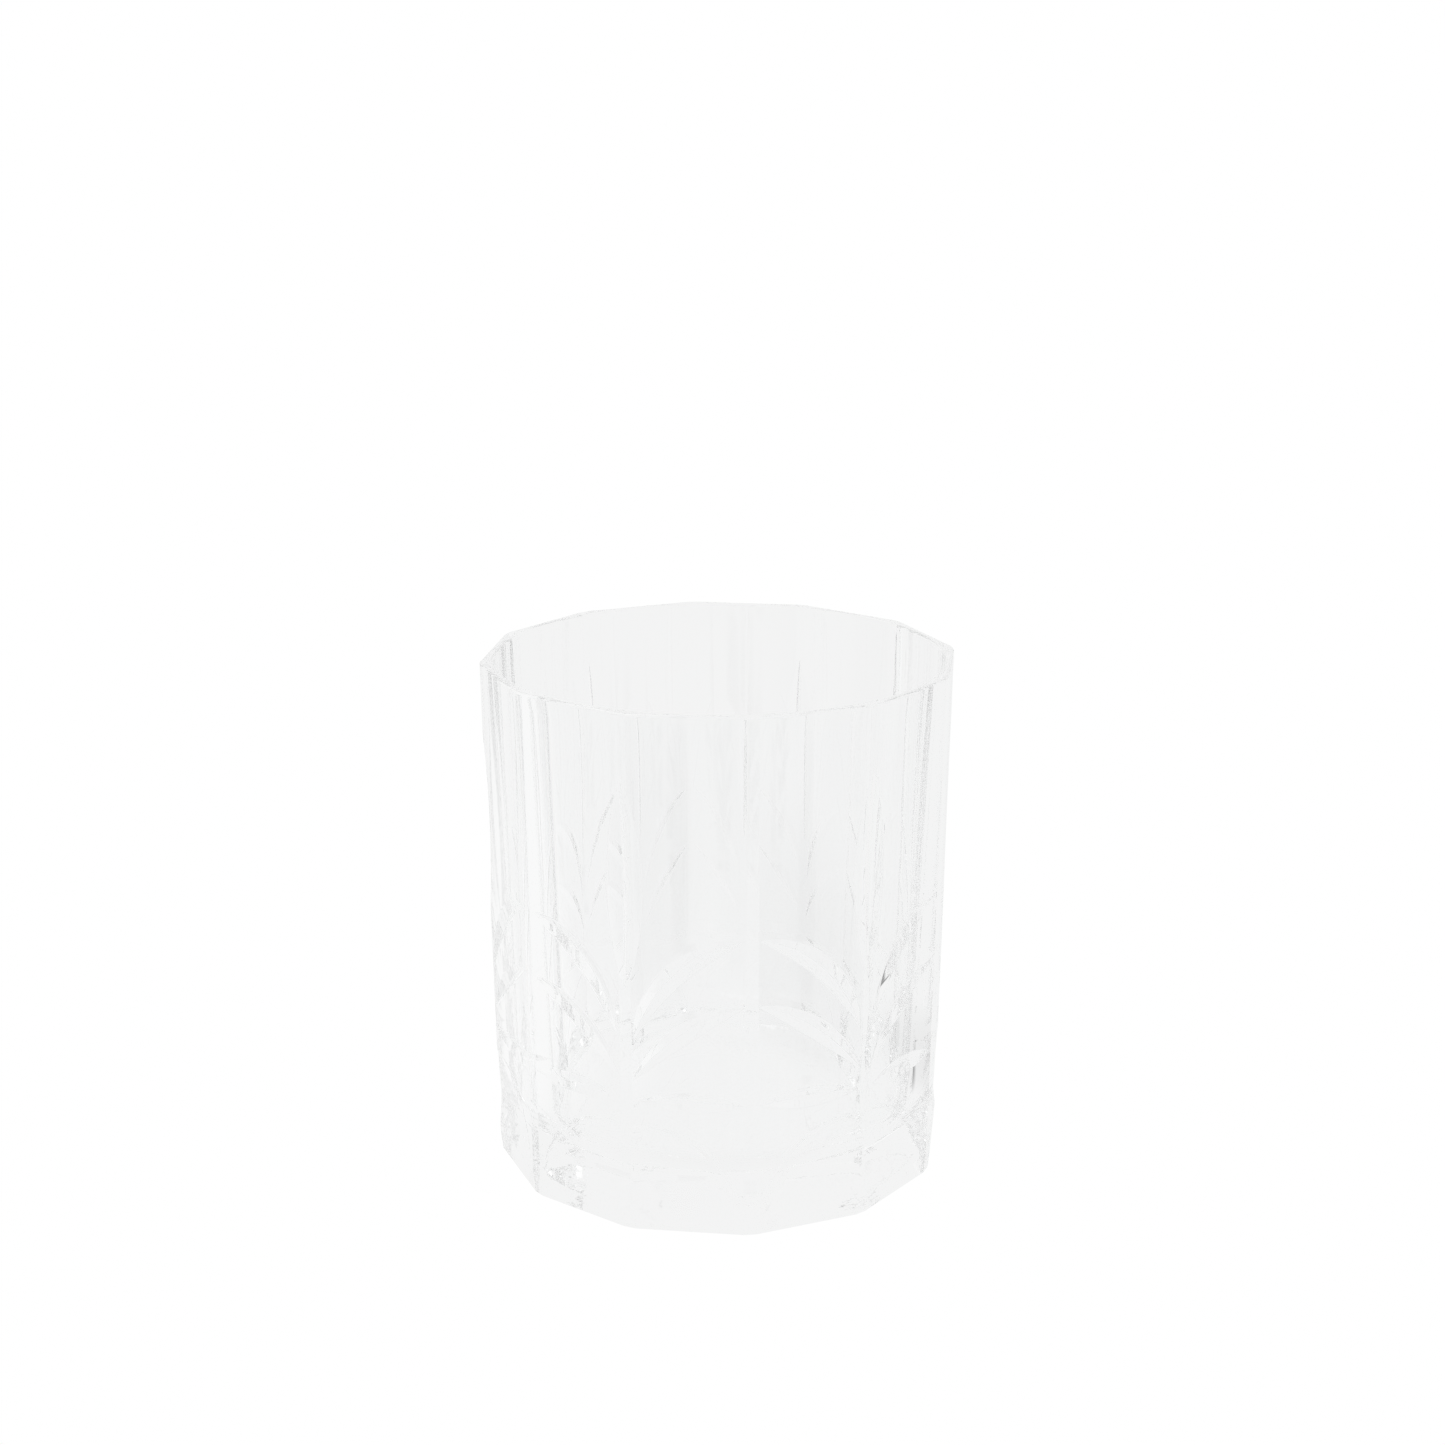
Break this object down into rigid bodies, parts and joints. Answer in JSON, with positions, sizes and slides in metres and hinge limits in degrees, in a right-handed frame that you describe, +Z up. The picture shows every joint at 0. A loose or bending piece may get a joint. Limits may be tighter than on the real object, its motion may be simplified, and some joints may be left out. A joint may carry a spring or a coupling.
{
  "type": "whiskey tumbler",
  "caption": "Short straight-sided drinking glass with flat facets outside, a round bowl inside, a thick base and moulded leaf-shaped cuts round the wall.",
  "frame": {"origin": "centre of the flat base, on the surface the glass stands on", "axes": "+Z up along the glass's axis of symmetry; -Y through one upright corner of the wall"},
  "size_m": [0.088, 0.088, 0.0964],
  "materials": {
    "clear_glass": "clear pressed glass, fire polished"
  },
  "bodies": {
    "root": {"tumbler_glass": "clear_glass"}
  },
  "joints": []
}
